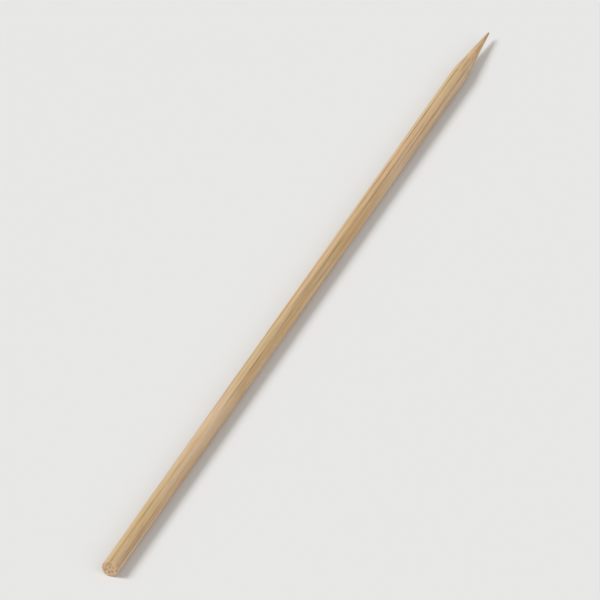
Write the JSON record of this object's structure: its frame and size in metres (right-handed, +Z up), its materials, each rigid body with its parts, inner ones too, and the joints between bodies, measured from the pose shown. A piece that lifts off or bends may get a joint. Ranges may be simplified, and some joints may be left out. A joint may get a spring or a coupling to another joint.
{
  "type": "bamboo skewer",
  "caption": "Straight round bamboo skewer with a long ground point at one end and a flat sawn butt at the other.",
  "frame": {"origin": "centre of the flat butt end, on the skewer's axis", "axes": "+X along the axis from the butt end to the point, +Z up with the skewer lying level"},
  "size_m": [0.18, 0.003, 0.003],
  "materials": {
    "bamboo": "satin"
  },
  "bodies": {
    "root": {"skewer": "bamboo"}
  },
  "joints": []
}
